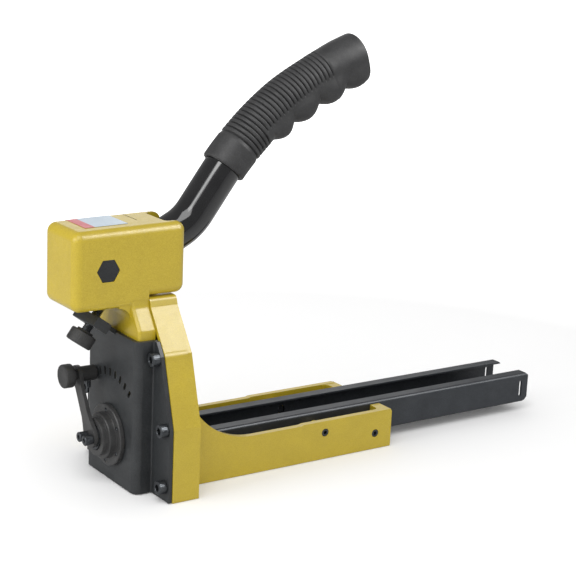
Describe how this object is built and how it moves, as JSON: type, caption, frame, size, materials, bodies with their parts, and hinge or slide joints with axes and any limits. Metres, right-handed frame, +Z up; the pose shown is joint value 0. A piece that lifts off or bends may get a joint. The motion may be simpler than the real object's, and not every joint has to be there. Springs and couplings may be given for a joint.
{
  "type": "manual carton closing stapler",
  "caption": "Hand-lever carton closing stapler: cast mast and rails, open channel magazine, boxed pivot head, curved ribbed handle and a depth adjuster on a folded front plate.",
  "frame": {"origin": "the middle of the mast's resting face, on the symmetry plane and the resting plane, 16.5 mm behind the mast's front face", "axes": "+X back along the magazine, +Y to the far side from the pivot bolt's head, +Z up"},
  "size_m": [0.3673, 0.1068, 0.2731],
  "materials": {
    "yellow_powder_coat": "mustard yellow fine-speckle powder coat, satin",
    "black_coated_steel": "satin blue-black coated sheet steel",
    "gloss_black_tube": "gloss black enamel",
    "grip_rubber": "matte moulded, ribbed",
    "black_oxide_steel": "black oxide",
    "ground_steel": "ground, lightly oiled",
    "bearing_bronze": "turned",
    "spring_steel": "drawn wire",
    "blank_label": "plain two-colour film, no text"
  },
  "bodies": {
    "frame": {"frame_casting": "yellow_powder_coat", "front_plate": "black_coated_steel", "head_casting": "yellow_powder_coat", "name_label": "blank_label", "magazine_channel": "black_coated_steel", "bearing_flange": "black_coated_steel", "flange_rivet_1": "black_oxide_steel", "flange_rivet_2": "black_oxide_steel", "flange_rivet_3": "black_oxide_steel", "flange_rivet_4": "black_oxide_steel", "flange_rivet_5": "black_oxide_steel", "flange_rivet_6": "black_oxide_steel", "plate_screw_1": "black_oxide_steel", "plate_screw_2": "black_oxide_steel", "plate_screw_3": "black_oxide_steel", "plate_screw_4": "black_oxide_steel", "plate_screw_5": "black_oxide_steel", "plate_screw_6": "black_oxide_steel", "rail_screw_1": "black_oxide_steel", "rail_screw_2": "black_oxide_steel", "rail_screw_3": "black_oxide_steel", "rail_screw_4": "black_oxide_steel", "pivot_bolt": "black_oxide_steel", "pivot_nut": "black_oxide_steel", "clincher_pin_far": "ground_steel", "clincher_pin_near": "ground_steel", "return_spring_far": "spring_steel", "return_spring_near": "spring_steel"},
    "handle": {"handle_tube": "gloss_black_tube", "rubber_grip": "grip_rubber", "lever_block": "ground_steel", "pivot_bush": "bearing_bronze", "roller_pin": "ground_steel", "handle_cross_pin": "ground_steel"},
    "roller": {"drive_roller": "ground_steel"},
    "driver": {"crosshead": "ground_steel", "driver_blade": "ground_steel", "driver_screw_1": "black_oxide_steel", "driver_screw_2": "black_oxide_steel"},
    "clincher_far": {"clincher_far": "ground_steel"},
    "clincher_near": {"clincher_near": "ground_steel"},
    "adjuster": {"adjust_lever": "black_coated_steel", "eccentric_shaft": "ground_steel", "lever_screw_1": "black_oxide_steel", "lever_screw_2": "black_oxide_steel", "plunger_barrel": "black_oxide_steel", "barrel_set_screw": "black_oxide_steel", "plunger_spring": "spring_steel"},
    "plunger": {"plunger_knob": "black_coated_steel", "plunger_pin": "ground_steel"},
    "stop_screw": {"stop_stud": "black_oxide_steel"},
    "stop_knob": {"stop_knob": "black_coated_steel"},
    "feeder": {"pusher_block": "black_coated_steel", "feed_spring_drum": "spring_steel", "drum_pin": "ground_steel", "pusher_tab": "black_oxide_steel"}
  },
  "joints": [
    {"name": "handle_hinge", "type": "hinge", "parent": "frame", "child": "handle", "pos_m": [-0.0445, 0, 0.14], "axis": [0, 1, 0], "range_deg": [0, 32]},
    {"name": "roller_spin", "type": "hinge", "parent": "handle", "child": "roller", "pos_m": [-0.00605, 0, 0.15102], "axis": [0, 1, 0], "continuous": true},
    {"name": "driver_slide", "type": "slide", "parent": "frame", "child": "driver", "axis": [0, 0, -1], "range_m": [0, 0.02206], "deforming": ["return_spring_far", "return_spring_near"]},
    {"name": "clincher_far_hinge", "type": "hinge", "parent": "frame", "child": "clincher_far", "pos_m": [-0.0125, 0.0222, 0.0155], "axis": [1, 0, 0], "range_deg": [-74.1, 0]},
    {"name": "clincher_near_hinge", "type": "hinge", "parent": "frame", "child": "clincher_near", "pos_m": [-0.0125, -0.0222, 0.0155], "axis": [1, 0, 0], "range_deg": [0, 74.1]},
    {"name": "adjuster_hinge", "type": "hinge", "parent": "frame", "child": "adjuster", "pos_m": [-0.0425, 0, 0.03], "axis": [1, 0, 0], "range_deg": [-9.3, 65.1]},
    {"name": "plunger_slide", "type": "slide", "parent": "adjuster", "child": "plunger", "axis": [1, 0, 0], "range_m": [-0.0008, 0.0025]},
    {"name": "stop_screw_slide", "type": "slide", "parent": "frame", "child": "stop_screw", "axis": [0.5878, 0, 0.809], "range_m": [-0.005, 0]},
    {"name": "stop_knob_turn", "type": "hinge", "parent": "stop_screw", "child": "stop_knob", "pos_m": [-0.0493, 0, 0.0979], "axis": [0.5878, 0, 0.809], "range_deg": [-1800, 0]},
    {"name": "feeder_slide", "type": "slide", "parent": "frame", "child": "feeder", "axis": [1, 0, 0], "range_m": [-0.012, 0.265]}
  ],
  "couplings": [
    {"joint": "driver_slide", "follows": "handle_hinge", "m_per_rad": 0.039482},
    {"joint": "clincher_far_hinge", "follows": "handle_hinge", "ratio": -2.3125},
    {"joint": "clincher_near_hinge", "follows": "handle_hinge", "ratio": 2.3125},
    {"joint": "stop_screw_slide", "follows": "stop_knob_turn", "m_per_rad": 0.00015915}
  ]
}
